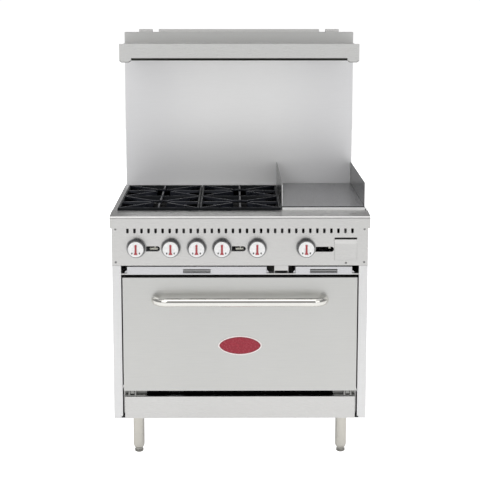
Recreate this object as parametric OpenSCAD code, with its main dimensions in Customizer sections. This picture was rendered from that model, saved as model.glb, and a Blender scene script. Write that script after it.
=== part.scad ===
// Commercial gas range: four open burners, a griddle and one oven.
// X runs to the right, Y to the back, Z up. The origin is under the middle, on the floor.

/* [Body] */
// Width of the body
body_w = 914; // [900:1:930]
// Depth from the front plane of the side panels to the back panel
body_d = 765; // [750:1:780]
// Height of the legs, floor to base
leg_h = 152; // [140:1:170]
// Height of the cooktop's surface
cooktop_z = 908; // [904:1:912]
// Height of the riser's top
riser_top = 1519; // [1500:1:1560]
// Thickness of the outer sheet metal
sheet = 1.5; // [1.2:0.1:1.8]

/* [Front] */
// Width of the front landing ledge
ledge_w = 917; // [914:1:930]
// How far the ledge stands out from the side panels
ledge_out = 60; // [50:1:65]
// Height of the knobs' centres
knob_z = 782; // [780:0.5:790]
// Diameter of the knob dials
knob_d = 64; // [48:1:66]
// How far the knobs' faces stand out from the side panels' plane
knob_out = 44; // [30:1:50]
// Pitch of the vent slots
vent_pitch = 25; // [24:0.5:26]
// Number of vent slots
vent_count = 33; // [21:2:33]

/* [Door] */
// Width of the oven door
door_w = 839; // [830:1:842]
// Height of the door's lower edge
door_z0 = 258; // [256:1:260]
// Height of the door's upper edge
door_z1 = 674.5; // [660:0.5:677]
// Diameter of the handle's tube
handle_d = 31.8; // [25:0.1:34]
// Height of the handle
handle_z = 597.5; // [560:0.5:620]
// Stand-off of the handle's centre line from the side panels' plane
handle_out = 75; // [60:1:80]

/* [Cooktop] */
// Side of a square grate
grate_w = 292.5; // [285:0.5:294]
// Height of the grates' top
grate_z = 918; // [914:1:922]
// Height of the griddle's splash above the cooktop
splash_h = 94; // [60:1:110]

/* [Oven] */
// Inner width of the oven
oven_w = 672; // [640:1:674]
// Inner depth of the oven
oven_d = 650; // [600:1:654]
// Height of the oven deck's top
deck_z = 298; // [296:1:300]
// Height of the oven's ceiling
oven_top = 656; // [640:1:656]

/* [Hidden] */
$fn = 48;

// The row's middle lies half-way between the handle's front and the gas inlet's end
inlet_x = -425;
inlet_out = 30;
coupling_r = 17.5;
front_reach = handle_out + handle_d / 2;
mid_y = (body_d + inlet_out - front_reach) / 2;

half = body_w / 2;
skin_x = half - sheet;
door_half = door_w / 2;
door_front = -10;
door_back = 40;
frame_y = 42;
frame_t = 2;
riser_y = 720;
panel_z0 = 717;
panel_z1 = 857;
ledge_z1 = cooktop_z - 4.5;
side_top = 716;
kick_z1 = 233;
panel_t = 2;

// Door hinge line
hinge_y = 8;
hinge_z = 247;
arm_x = 390;
arm_t = 12;

// Crumb trays: inner and outer ends, and the centre post between them
tray_z0 = 689.5;
tray_z1 = 712.5;
rail_z = 688.5;
rail_h = 5;
tray_left = [-403, 95];
tray_right = [198.5, 400.5];
post = [122.8, 172.5];

// Controls along the panel
knob_xs = [-369, -246, -154, -64, 61, 235];
slot_z = knob_z - 4.3;
pilot_slots = [[-345, -285, slot_z], [-40, 20.5, slot_z], [266, 335, slot_z - 2]];
slot_h = 18.5;
screw_places = [[-443, 729], [443, 729], [-443, 848.5], [443, 848.5], [378, 726]];
drawer_x = [337, 416.5];
drawer_z = [737, 813];

// Cooktop layout
griddle_x = 151;
grates_x0 = -439;
grates_y0 = 56;
grate_gap = 1.5;
grate_bar = 9;
burner_xs = [grates_x0 + grate_w / 2, grates_x0 + grate_w * 1.5 + grate_gap];
burner_ys = [grates_y0 + grate_w / 2 + 6, grates_y0 + grate_w * 1.5 + 12];
grate_d = 300;
stem_r = 4;
leg_xs = [-373, 373];
leg_ys = [85, 680];
plate_t = 12;

// Block between two corners; y counts from the side panels' front plane
module block(low, high)
    translate([low[0], low[1] - mid_y, low[2]]) cube(high - low);

module at(p) translate([p[0], p[1] - mid_y, p[2]]) children();
module rod_x(p, len, r) at(p) rotate([0, 90, 0]) cylinder(h = len, r = r);
module rod_y(p, len, r) at(p) rotate([-90, 0, 0]) cylinder(h = len, r = r);
module rod_z(p, len, r) at(p) cylinder(h = len, r = r);
module mirrored() {
    children();
    mirror([1, 0, 0]) children();
}

// ---------- Frame and casing ----------

module base_frame() color("dimgray") {
    difference() {
        block([-454, 3, leg_h], [454, 763, leg_h + 2]);
        for (x = leg_xs, y = leg_ys) rod_z([x, y, leg_h - 1], 4, 5.2);
    }
    for (x = leg_xs, y = leg_ys) difference() {
        block([x - 45, y - 45, leg_h + 2], [x + 45, y + 45, leg_h + 7]);
        rod_z([x, y, leg_h], 10, 5.2);
    }
    mirrored() block([300, 50, leg_h + 2], [322, 740, 200]);
    mirrored() block([arm_x - 5, 262, leg_h + 2], [arm_x + 5, 268, 262]);
}

module side_panel() {
    block([skin_x, 0, leg_h], [half, body_d, side_top]);
    difference() {
        block([425, 0, leg_h], [skin_x, sheet, side_top]);
        block([420, -1, leg_h - 1], [430, sheet + 1, leg_h + 8]);
    }
    block([425, sheet, leg_h + 8], [425 + sheet, 14, rail_z - 9]);
}
module left_side_panel() color("gainsboro") mirror([1, 0, 0]) side_panel();
module right_side_panel() color("gainsboro") side_panel();

module back_panel() color("silver") difference() {
    block([-455, body_d - sheet, leg_h + 2], [455, body_d, cooktop_z - 4.5]);
    rod_y([inlet_x, body_d - 5, knob_z], 10, coupling_r + 1);
    for (i = [-9:9])
        block([i * 30 - 5, body_d - 3, 640], [i * 30 + 5, body_d + 1, 690]);
}

module kick_panel() color("silver") {
    block([-417, 0, leg_h], [417, sheet, kick_z1]);
    block([-417, sheet, kick_z1 - sheet], [417, 22, kick_z1]);
    mirrored() block([415.5, sheet, leg_h + 3], [417, 22, kick_z1 - sheet]);
}

// Face around the oven mouth, with the rail under the trays and the centre post
module front_frame() color("silver") {
    difference() {
        block([-424, frame_y, leg_h + 8], [424, frame_y + frame_t, rail_z - rail_h]);
        block([-oven_w / 2, frame_y - 1, deck_z - 6], [oven_w / 2, frame_y + 4, oven_top]);
        block([-338, frame_y - 1, 238], [338, frame_y + 4, 262]);
        mirrored() block([arm_x - 10, frame_y - 1, 238], [arm_x + 10, frame_y + 4, 306]);
    }
    difference() {
        block([-424, 0, rail_z - rail_h], [424, frame_y + frame_t, rail_z - 0.5]);
        block([-425, sheet, rail_z - rail_h + sheet], [425, frame_y, rail_z - 0.5 - sheet]);
    }
    block([post[0], 1, rail_z + 9.5], [post[1], 1 + sheet, side_top]);
    block([post[0], 1 + sheet, rail_z - 0.5], [post[0] + sheet, 44, side_top]);
    block([post[1] - sheet, 1 + sheet, rail_z - 0.5], [post[1], 44, side_top]);
    mirrored() block([420, 40, rail_z - 0.5], [424, 44, side_top]);
}

module pilot_slot(x0, x1, z) {
    block([x0, -6, z - slot_h / 2], [x1 - slot_h / 2, 6, z + slot_h / 2]);
    rod_y([x1 - slot_h / 2, -6, z], 12, slot_h / 2);
}

vent_r = 4.5;
vent_z0 = 833.3;
vent_z1 = 853.5;
module vent_slot(x) {
    block([x - vent_r, -6, vent_z0 + vent_r], [x + vent_r, 6, vent_z1 - vent_r]);
    for (z = [vent_z0 + vent_r, vent_z1 - vent_r]) rod_y([x, -6, z], 12, vent_r);
}

module control_panel() color("lightgray") {
    difference() {
        block([-456, -panel_t, panel_z0], [456, 0, panel_z1]);
        for (i = [0:vent_count - 1]) vent_slot((i - (vent_count - 1) / 2) * vent_pitch);
        for (x = knob_xs) rod_y([x, -6, knob_z], 12, 11);
        for (s = pilot_slots) pilot_slot(s[0], s[1], s[2]);
        block([drawer_x[0] - 0.5, -6, drawer_z[0] - 0.5], [drawer_x[1] + 0.5, 6, drawer_z[1] + 5]);
        for (p = screw_places) rod_y([p[0], -6, p[1]], 12, 2.05);
    }
    block([-455, 0, panel_z0], [455, 26, panel_z0 + sheet]);
}

// Folded front rail: rounded upper edge, open underneath behind the control panel
module ledge_outline(inset) {
    r = 9 - inset;
    y0 = inset - ledge_out;
    y1 = grates_y0 - 2 - inset;
    z0 = panel_z1 + 3.5 + inset;
    z1 = ledge_z1 - inset;
    translate([y0 + r, z1 - r]) circle(r = r);
    translate([y0, z0]) square([r + 1, z1 - r - z0]);
    polygon([[y0 + r, z0], [y1, z0], [y1, cooktop_z - inset], [y0 + r, z1]]);
}
module landing_ledge() color("whitesmoke") {
    at([-ledge_w / 2, 0, 0]) rotate([90, 0, 90]) linear_extrude(ledge_w) difference() {
        ledge_outline(0);
        ledge_outline(2);
        translate([2, panel_z1]) square([grates_y0 - 6, 8]);
    }
    for (x = [-ledge_w / 2, ledge_w / 2 - 2])
        at([x, 0, 0]) rotate([90, 0, 90]) linear_extrude(2) ledge_outline(1);
}

// Burner box: side, front, rear and dividing walls, with the ledges that carry grates and griddle
module cooktop_frame() color("silver") {
    wall_z1 = cooktop_z - 2;
    front = grates_y0 - 1.5;
    mirrored() difference() {
        block([skin_x, 0.5, side_top + 0.5], [half, 763, wall_z1]);
        block([skin_x - 1, 0, panel_z1 + 2.5], [half + 1, front, wall_z1 + 1]);
    }
    block([-skin_x, front, 864], [skin_x, grates_y0, 895]);
    block([-skin_x, 715, 812], [skin_x, 717, wall_z1]);
    block([148.5, grates_y0, 800], [150, 715, wall_z1]);
    block([-half, front, wall_z1], [grates_x0 - 1.5, 717, cooktop_z]);
    block([grates_x0 - 1.5, 660, wall_z1], [148, 717, cooktop_z]);
    block([-skin_x, grates_y0, 893], [148.5, 70, 895]);
    block([-skin_x, 646, 893], [148.5, 715, 895]);
    for (x = [[-skin_x, -432], [-153, -142], [136, 148.5]]) block([x[0], 70, 893], [x[1], 646, 895]);
    for (x = [[-432, -153], [-142, 136]]) block([x[0], 350, 893], [x[1], 366, 895]);
    block([150, 94, 903], [168, 715, 905]);
    block([438, 94, 903], [skin_x, 715, 905]);
}

// ---------- Riser and shelf ----------

riser_half = 453;
module riser_panel() color("silver") {
    block([-riser_half, riser_y, cooktop_z], [riser_half, riser_y + sheet, riser_top]);
    mirrored() block([riser_half - sheet, riser_y + sheet, cooktop_z], [riser_half, 763, riser_top]);
}
module riser_back() color("silver")
    block([-riser_half, 763.5, cooktop_z - 4], [riser_half, body_d, riser_top]);

shelf_half = 455;

// Section of the channel under each end of the shelf, with chamfered lower corners
module bracket_outline(inset) {
    x0 = 410 + inset;
    x1 = shelf_half - inset;
    z0 = 1414 + inset;
    z1 = 1430 + sheet;
    polygon([[x0, z1], [x0, z0 + 6], [x0 + 9, z0], [x1 - 9, z0], [x1, z0 + 6], [x1, z1]]);
}

module high_shelf() color("silver") {
    block([-shelf_half, 451.5, 1474], [shelf_half, 719.5, 1475.5]);
    block([-shelf_half, 450, 1430], [shelf_half, 451.5, 1484]);
    mirrored() block([shelf_half - sheet, 451.5, 1430], [shelf_half, 719.5, 1474]);
    block([-410, 451.5, 1430], [410, 462, 1430 + sheet]);
    block([-410, 460.5, 1420.5], [410, 462, 1430]);
    mirrored() {
        at([0, 719.5, 0]) rotate([90, 0, 0]) linear_extrude(268) difference() {
            bracket_outline(0);
            bracket_outline(sheet);
        }
        at([0, 451.5, 0]) rotate([90, 0, 0]) linear_extrude(sheet) bracket_outline(0);
    }
}

module flue_cap() color("silver") {
    for (s = [[-396, -343], [-318, 318], [343, 396]]) {
        block([s[0], 728, riser_top + 10], [s[1], 756, riser_top + 11.5]);
        block([s[0], 728, riser_top], [s[1], 729.5, riser_top + 10]);
        block([s[0], 754.5, riser_top], [s[1], 756, riser_top + 10]);
    }
    for (y = [729.5, 754.5])
        block([-riser_half + 2, y, riser_top - 14], [riser_half - 2, y + sheet, riser_top]);
}

// ---------- Oven ----------

half_oven = oven_w / 2;
liner_y0 = frame_y + frame_t;
liner_y1 = liner_y0 + oven_d;

module oven_liner() color("slategray") difference() {
    union() {
        difference() {
            block([-half_oven - sheet, liner_y0, 200],
                  [half_oven + sheet, liner_y1 + sheet, oven_top + sheet]);
            block([-half_oven, liner_y0 - 1, 200 + sheet], [half_oven, liner_y1, oven_top]);
        }
        mirrored() block([half_oven - 14, liner_y0, deck_z - 4.5], [half_oven, liner_y1, deck_z - 3]);
    }
    block([-60, liner_y1 - 2, 600], [60, liner_y1 + 4, 640]);
    rod_z([148, 64, oven_top - 2], 6, 2.5);
    rod_x([-half_oven - 4, 64, 230], 8, 5);
}

module oven_insulation() color("khaki") difference() {
    block([-378, liner_y0 + 1, 204], [378, liner_y1 + 44, 682]);
    block([-half_oven - 2, liner_y0, 203], [half_oven + 2, liner_y1 + 2, oven_top + 2]);
    block([-62, liner_y1, 597], [62, liner_y1 + 46, 643]);
    rod_z([148, 64, oven_top], 30, 2.5);
    rod_x([-380, 64, 230], 50, 6);
}

module oven_deck() color("darkslategray") difference() {
    block([-half_oven + 2, liner_y0 + 4, deck_z - 3], [half_oven - 2, liner_y1 - 4, deck_z]);
    mirrored() for (i = [0:5])
        block([half_oven - 60, 100 + i * 95, deck_z - 4], [half_oven - 40, 160 + i * 95, deck_z + 1]);
}

rack_zs = [382, 512];
module rack_guides() color("silver") mirrored() {
    for (y = [90, 370, 650]) rod_z([332, y, deck_z + 1], 320, 2.5);
    for (z = rack_zs) rod_y([327, 70, z], 600, 3);
    rod_y([332, 90, 616], 560, 2.5);
    for (z = rack_zs, y = [90, 370, 650]) rod_x([327, y, z], 5, 2);
}

module rack(z) {
    w = 325;
    y0 = 78;
    y1 = 660;
    mirrored() rod_y([w, y0, z], y1 - y0, 3.5);
    for (y = [y0, y1]) rod_x([-w, y, z], 2 * w, 3.5);
    for (y = [y0 + 190, y0 + 390]) rod_x([-w, y, z], 2 * w, 2.8);
    for (i = [-8:8]) rod_y([i * 36, y0, z + 3], y1 - y0, 2.2);
}
module upper_rack() color("silver") rack(rack_zs[1] + 7);
module lower_rack() color("silver") rack(rack_zs[0] + 7);

module oven_burner() color("gray") {
    difference() {
        union() {
            rod_y([0, 90, 250], 520, 16);
            rod_x([-90, 580, 250], 180, 13);
        }
        rod_y([0, 80, 250], 520, 13.5);
        for (i = [0:11]) rod_x([-20, 140 + i * 36, 250], 40, 2);
    }
    block([-110, 130, 276], [110, 600, 278]);
    for (y = [140, 590]) mirrored() block([96, y, 201.5], [98, y + 8, 276]);
    block([-260, 74, 203], [-210, 120, 262]);
}

module flue_duct() color("gray") {
    difference() {
        block([-100, 742, 590], [100, 762.5, 904]);
        block([-98.5, 743.5, 591.5], [98.5, 761, 905]);
        block([-58.5, 741, 601.5], [58.5, 744, 638.5]);
    }
    difference() {
        block([-60, liner_y1 + sheet, 600], [60, 742, 640]);
        block([-58.5, liner_y1, 601.5], [58.5, 743, 638.5]);
    }
}

// ---------- Gas system ----------

pipe_r = 13.335;
manifold_y = 64;
hood_z = knob_z + 25;

module gas_manifold() color("dimgray") {
    rod_x([inlet_x, manifold_y, knob_z], 300 - inlet_x, pipe_r);
    rod_y([inlet_x, manifold_y, knob_z], body_d + inlet_out - manifold_y, pipe_r);
    rod_y([inlet_x, body_d - 22, knob_z], 25, coupling_r);
    block([inlet_x - 18, manifold_y - 17, knob_z - 17], [inlet_x + 18, manifold_y + 17, knob_z + 17]);
    rod_x([296, manifold_y, knob_z], 12, coupling_r);
    rod_x([-448, manifold_y, knob_z], 20, 6);
    rod_z([-446, manifold_y, 230], knob_z - 230, 4);
    rod_x([-446, manifold_y, 230], 186, 4);
}

module valve(x) difference() {
    union() {
        rod_y([x, 20, knob_z], manifold_y - pipe_r - 20, 10);
        block([x - 8, 26, knob_z], [x + 8, 46, hood_z + 8]);
        rod_y([x, 40, hood_z], 54, 6);
    }
    rod_y([x, 19, knob_z], 25, stem_r + 0.05);
}
module gas_valves() color("goldenrod") for (i = [0, 1, 3, 4, 5]) valve(knob_xs[i]);

// Thermostat body, its capillary tube and the bulb under the oven's ceiling
module oven_thermostat() color("silver") {
    x = knob_xs[2];
    difference() {
        block([x - 26, 20, knob_z - 28], [x + 26, 48, knob_z + 22]);
        rod_y([x, 19, knob_z], 25, stem_r + 0.05);
    }
    rod_x([x + 26, 36, 763], 148 - x - 26, 1.5);
    rod_y([148, 36, 763], 28, 1.5);
    rod_z([148, 64, 641], 122, 1.5);
    rod_y([148, 64, 641], 230, 4);
}

module open_burners() color("dimgray") for (col = [0, 1], row = [0, 1]) {
    x = knob_xs[col * 3 + row];
    xc = burner_xs[col];
    yc = burner_ys[row];
    difference() {
        union() {
            rod_y([x, 100, hood_z], yc - 100, 14);
            rod_y([x, 100, hood_z], 24, 19);
            block([min(x, xc) - 15, yc - 16, hood_z - 15], [max(x, xc) + 15, yc + 16, hood_z + 15]);
            rod_z([xc, yc, hood_z], 38, 20);
            rod_z([xc, yc, hood_z + 36], 14, 36);
            rod_z([xc, yc, hood_z + 50], 12, 46);
            rod_z([xc, yc, hood_z + 62], 7, 30);
        }
        rod_y([x, 99, hood_z], yc - 100, 10.5);
        for (a = [0:20:340]) at([xc, yc, hood_z + 57]) rotate([0, 90, a])
            translate([0, 0, 34]) cylinder(h = 14, r = 1.6);
    }
}

module pilot_tubes() color("gold") {
    for (s = [pilot_slots[0], pilot_slots[1]]) rod_x([s[1] - 36, 12, s[2] - 1.8], 28, 4);
    rod_x([pilot_slots[2][1] - 19, 12, slot_z + 2.5], 7.5, 4);
    for (x = [-303, 2]) rod_y([x, 12, knob_z], manifold_y - pipe_r - 12, 3);
}

// ---------- Griddle ----------

griddle_x1 = 449;
griddle_x0 = griddle_x + 1.5;
griddle_y0 = 94;
trough_y = grates_y0 + 1;

module griddle_plate() color("gray")
    block([griddle_x0, griddle_y0, 905], [griddle_x1, 715, 905 + plate_t]);

module splash_wall(x) difference() {
    block([x, griddle_y0, cooktop_z - 2], [x + 2, 718, cooktop_z + splash_h]);
    at([x - 1, griddle_y0 - 2, cooktop_z + splash_h - 5]) rotate([45, 0, 0]) cube([4, 12, 12]);
}
module griddle_splash() color("silver") {
    splash_wall(griddle_x0 - 2);
    splash_wall(griddle_x1);
}

module grease_trough() color("silver") {
    difference() {
        block([griddle_x0, trough_y, 876], [griddle_x1, 93, 904.5]);
        block([griddle_x0 + sheet, trough_y + sheet, 876 + sheet], [griddle_x1 - sheet, 91.5, 905]);
        rod_z([378, 75, 870], 12, 12.5);
    }
    block([griddle_x0, trough_y, 904.5], [griddle_x1, trough_y + sheet, 914]);
    block([griddle_x0, trough_y + sheet, 914 - sheet], [half - 0.5, 83, 914]);
    difference() {
        rod_z([378, 75, 819], 57, 14);
        rod_z([378, 75, 818], 59, 12.5);
    }
}

module griddle_burner() color("dimgray") {
    x = knob_xs[5];
    difference() {
        union() {
            rod_y([x, 100, hood_z], 110, 14);
            rod_z([x, 196, hood_z], 40, 14);
            rod_y([x, 120, hood_z + 40], 540, 12);
            rod_y([370, 120, hood_z + 40], 540, 12);
            rod_x([x, 160, hood_z + 40], 370 - x, 12);
        }
        rod_y([x, 99, hood_z], 90, 10.5);
    }
}

// ---------- Slides, hinges, trim ----------

module tray_runner(x, s) {
    block([x, 44.5, rail_z - 0.5], [x + sheet, 650, rail_z + 8]);
    block([min(x, x + s * 12), 1.5, rail_z - 0.5], [max(x + sheet, x + s * 12), 650, rail_z + 0.5]);
}
module slide_runners() color("silver") {
    for (t = [tray_left, tray_right]) {
        tray_runner(t[0] - 6, 1);
        tray_runner(t[1] + 6 - sheet, -1);
    }
    difference() {
        block([drawer_x[0] - 3, 4, drawer_z[0] - 4], [drawer_x[1] + 3, 255, drawer_z[0] + 28]);
        block([drawer_x[0] - sheet, 3, drawer_z[0] - 2.5], [drawer_x[1] + sheet, 253.5, drawer_z[1]]);
    }
}

// Dark steel hinge brackets beside the air slot, with their pins
module door_hinges() color("dimgray") mirrored() {
    block([340, 1, 236.3], [417, 24, 238.6]);
    block([340, 22, 238.6], [arm_x - 12, 24, 255]);
    block([arm_x + 12, 22, 238.6], [417, 24, 255]);
    difference() {
        for (x = [arm_x - 14, arm_x + 8])
            block([x, 1, 238.6], [x + 6, 24, 255]);
        rod_x([arm_x - 20, hinge_y, hinge_z], 40, 3);
    }
    rod_x([arm_x - 14, hinge_y, hinge_z], 28, 3);
}

module door_arms() color("dimgray") mirrored() difference() {
    union() {
        rod_x([arm_x - 6, hinge_y, hinge_z], arm_t, 6.5);
        block([arm_x - 6, hinge_y - 6.5, hinge_z], [arm_x + 6, hinge_y + 6.5, door_z0]);
        block([arm_x - 6, hinge_y, hinge_z - 5], [arm_x + 6, 56, hinge_z + 5]);
        rod_x([arm_x - 6, 56, hinge_z], arm_t, 5);
    }
    rod_x([arm_x - 20, hinge_y, hinge_z], 40, 3.05);
    rod_x([arm_x - 20, 56, hinge_z], 40, 2);
}

module door_springs() color("silver") mirrored()
    rod_y([arm_x, 62, hinge_z], 199.5, 6);

module knob_bezels() color("silver") for (x = knob_xs) difference() {
    rod_y([x, -8, knob_z], 8 - panel_t, knob_d / 2 + 4);
    rod_y([x, -9, knob_z], 9, knob_d / 2 - 5);
}

module screw(x, z) {
    at([x, -panel_t - 2, z]) rotate([-90, 0, 0]) cylinder(h = 2, r1 = 3, r2 = 4.2);
    rod_y([x, -panel_t, z], 9, 2);
}
module panel_screws() color("gray") {
    for (p = screw_places) screw(p[0], p[1]);
}

// ---------- Oven door ----------

module door_skin() color("lightgray") difference() {
    block([-door_half, door_front, door_z0], [door_half, 31, door_z1]);
    block([sheet - door_half, door_front + sheet, door_z0 + sheet],
          [door_half - sheet, 32, door_z1 - sheet]);
}

module door_inner() color("slategray") difference() {
    block([-door_half + 2, 31.2, door_z0 + 2], [door_half - 2, door_back, door_z1 - 2]);
    block([-door_half + 3.5, 30, door_z0 + 3.5], [door_half - 3.5, door_back - sheet, door_z1 - 3.5]);
}

module door_insulation() color("khaki")
    block([-door_half + 5, door_front + 3, door_z0 + 5], [door_half - 5, door_back - 3, door_z1 - 5]);

module door_gasket() color("dimgray") difference() {
    block([-half_oven - 18, door_back, deck_z - 20], [half_oven + 18, door_back + 1.4, oven_top + 15]);
    block([-half_oven - 8, door_back - 1, deck_z - 10], [half_oven + 8, door_back + 3, oven_top + 5]);
}

handle_x = 301;
bend_r = 46;
module handle_tube(r) {
    run = handle_x - bend_r;
    post_y = bend_r - handle_out;
    rod_x([-run, -handle_out, handle_z], 2 * run, r);
    mirrored() {
        rod_y([handle_x, post_y, handle_z], door_front - post_y, r);
        at([run, post_y, handle_z]) rotate([0, 0, -90])
            rotate_extrude(angle = 90) translate([bend_r, 0]) circle(r = r);
    }
}
module door_handle() color("white") handle_tube(handle_d / 2);

module door_badge() color("firebrick")
    at([0, door_front, 426]) rotate([90, 0, 0])
        linear_extrude(2.5) polygon([for (a = [0:6:354]) [79 * cos(a), 36 * sin(a)]]);

// ---------- Knobs ----------

module knob(i) color("white") {
    x = knob_xs[i];
    difference() {
        union() {
            at([x, -knob_out, knob_z]) rotate([-90, 0, 0])
                cylinder(h = knob_out - 8.5, r1 = knob_d / 2 - 2, r2 = knob_d / 2 - 1);
            block([x - 4, -knob_out - 2.5, knob_z - 19], [x + 4, -knob_out + 1, knob_z + 19]);
        }
        rod_y([x, -28, knob_z], 30, stem_r + 0.02);
    }
    rod_y([x, -27.9, knob_z], 67.9, stem_r);
}
module knob_1() knob(0);
module knob_2() knob(1);
module knob_3() knob(2);
module knob_4() knob(3);
module knob_5() knob(4);
module knob_6() knob(5);

// ---------- Trays and drawer ----------

// Tray whose front hangs over the rail, with a finger slot in it
module crumb_tray(ends, slot_x) color("gainsboro") {
    y1 = 640;
    face_y = -0.5;
    difference() {
        block([ends[0], face_y - sheet, rail_z - rail_h + 1], [ends[1], face_y, tray_z1]);
        block([slot_x, face_y - 2, tray_z0 - 1], [slot_x + 98, face_y + 1, tray_z0 + 14.5]);
    }
    difference() {
        block([ends[0], face_y, tray_z0], [ends[1], y1, tray_z1 - 6]);
        block([ends[0] + 1.2, face_y - 1, tray_z0 + 1.2], [ends[1] - 1.2, y1 - 1.2, tray_z1]);
    }
}
module left_crumb_tray() crumb_tray(tray_left, -203);
module right_crumb_tray() crumb_tray(tray_right, 250);

module grease_drawer() color("gainsboro") difference() {
    union() {
        block([drawer_x[0], -panel_t - 1, drawer_z[0]], [drawer_x[1], 0, drawer_z[1]]);
        block([drawer_x[0] + 1, 0, drawer_z[0]], [drawer_x[1] - 1, 250, drawer_z[1] - 4]);
        at([drawer_x[0], -panel_t - 1, drawer_z[1]]) rotate([90, 0, 90])
            linear_extrude(drawer_x[1] - drawer_x[0])
                polygon([[0, 0], [0, -18], [-1, -18], [-5, -2], [-4, 0]]);
    }
    block([drawer_x[0] + 2.5, 1.5, drawer_z[0] + 1.5], [drawer_x[1] - 2.5, 248.5, drawer_z[1] + 1]);
}

// ---------- Grates ----------

module finger(angle, outer) {
    inner = 34;
    rotate([0, 0, angle]) translate([inner, -4, 0]) cube([outer - inner, 8, 16]);
}
module grate(col, row) color("black") {
    x0 = grates_x0 + col * (grate_w + grate_gap);
    y0 = grates_y0 + 1 + row * (grate_d + grate_gap);
    z0 = grate_z - 16;
    difference() {
        block([x0, y0, z0], [x0 + grate_w, y0 + grate_d, grate_z]);
        block([x0 + grate_bar, y0 + grate_bar, z0 - 1],
              [x0 + grate_w - grate_bar, y0 + grate_d - grate_bar, grate_z + 1]);
    }
    for (x = [x0, x0 + grate_w - 14], y = [y0, y0 + grate_d - 14])
        block([x, y, 895.4], [x + 14, y + 14, z0 + 0.01]);
    at([x0 + grate_w / 2, y0 + grate_d / 2, z0]) {
        for (a = [0, 180]) finger(a, grate_w / 2 - grate_bar + 0.5);
        for (a = [90, 270]) finger(a, grate_d / 2 - grate_bar + 0.5);
        for (a = [46, 134, 226, 314]) finger(a, 192);
    }
}
module grate_front_left() grate(0, 0);
module grate_front_right() grate(1, 0);
module grate_rear_left() grate(0, 1);
module grate_rear_right() grate(1, 1);

// ---------- Legs and feet ----------

leg_r = 20.65;
foot_stem_r = 8;
module leg(x, y) at([x, y, 0]) difference() {
    union() {
        translate([0, 0, 28]) cylinder(h = leg_h - 28, r = leg_r);
        translate([0, 0, 20]) cylinder(h = 8, r1 = 17.5, r2 = leg_r, $fn = 96);
    }
    translate([0, 0, 66]) cylinder(h = leg_h, r = leg_r - 2);
    translate([0, 0, 10]) cylinder(h = 70, r = foot_stem_r + 0.05);
}
module legs() color("silver") for (x = leg_xs, y = leg_ys) leg(x, y);

module foot(x, y) color("dimgray") at([x, y, 0]) {
    cylinder(h = 2.5, r = 14);
    translate([0, 0, 2.5]) cylinder(h = 15.5, r = 16.5);
    translate([0, 0, 18]) cylinder(h = 42, r = foot_stem_r);
}
module foot_front_left() foot(leg_xs[0], leg_ys[0]);
module foot_front_right() foot(leg_xs[1], leg_ys[0]);
module foot_rear_left() foot(leg_xs[0], leg_ys[1]);
module foot_rear_right() foot(leg_xs[1], leg_ys[1]);

base_frame();
left_side_panel();
right_side_panel();
back_panel();
kick_panel();
front_frame();
control_panel();
landing_ledge();
cooktop_frame();
riser_panel();
riser_back();
high_shelf();
flue_cap();
oven_liner();
oven_insulation();
oven_deck();
rack_guides();
oven_burner();
flue_duct();
gas_manifold();
gas_valves();
oven_thermostat();
open_burners();
griddle_plate();
griddle_splash();
grease_trough();
griddle_burner();
pilot_tubes();
slide_runners();
door_hinges();
knob_bezels();
panel_screws();
legs();
door_skin();
door_inner();
door_insulation();
door_gasket();
door_handle();
door_badge();
door_arms();
door_springs();
knob_1();
knob_2();
knob_3();
knob_4();
knob_5();
knob_6();
left_crumb_tray();
right_crumb_tray();
grease_drawer();
grate_front_left();
grate_front_right();
grate_rear_left();
grate_rear_right();
upper_rack();
lower_rack();
foot_front_left();
foot_front_right();
foot_rear_left();
foot_rear_right();
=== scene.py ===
"""Looks for the commercial gas range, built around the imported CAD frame. Units are metres."""

import math

import bmesh
import bpy
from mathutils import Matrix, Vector


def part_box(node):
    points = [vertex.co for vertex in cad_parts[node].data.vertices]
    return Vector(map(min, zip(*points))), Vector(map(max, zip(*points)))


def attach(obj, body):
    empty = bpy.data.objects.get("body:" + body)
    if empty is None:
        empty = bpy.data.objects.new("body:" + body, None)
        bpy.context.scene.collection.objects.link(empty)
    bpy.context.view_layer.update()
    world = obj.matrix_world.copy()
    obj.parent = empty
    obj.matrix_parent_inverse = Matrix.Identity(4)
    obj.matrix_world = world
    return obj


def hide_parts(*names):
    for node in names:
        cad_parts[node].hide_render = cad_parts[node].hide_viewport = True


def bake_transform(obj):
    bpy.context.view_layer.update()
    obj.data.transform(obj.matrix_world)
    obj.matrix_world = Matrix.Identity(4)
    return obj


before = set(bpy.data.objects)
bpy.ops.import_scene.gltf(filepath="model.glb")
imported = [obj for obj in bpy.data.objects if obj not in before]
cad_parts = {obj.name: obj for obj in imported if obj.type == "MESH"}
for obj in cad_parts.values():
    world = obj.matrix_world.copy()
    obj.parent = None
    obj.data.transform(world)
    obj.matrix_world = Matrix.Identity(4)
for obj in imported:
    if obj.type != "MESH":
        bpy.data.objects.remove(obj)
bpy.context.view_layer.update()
MM = 0.001
BODY = "range_body"
DOOR = "oven_door"


# ---------- Mesh helpers ----------

def add_mesh(name, bm, material, body, smooth=None):
    """A finished bmesh as an object, riding on a CAD body if one is given.

    smooth is the angle in degrees up to which edges shade smooth.
    """
    mesh = bpy.data.meshes.new(name)
    bmesh.ops.recalc_face_normals(bm, faces=bm.faces)
    bm.to_mesh(mesh)
    bm.free()
    obj = bpy.data.objects.new(name, mesh)
    bpy.context.scene.collection.objects.link(obj)
    mesh.materials.append(material)
    if smooth is not None:
        mesh.shade_smooth()
        mesh.set_sharp_from_angle(angle=math.radians(smooth))
    if body is not None:
        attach(obj, body)
    return obj


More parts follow.
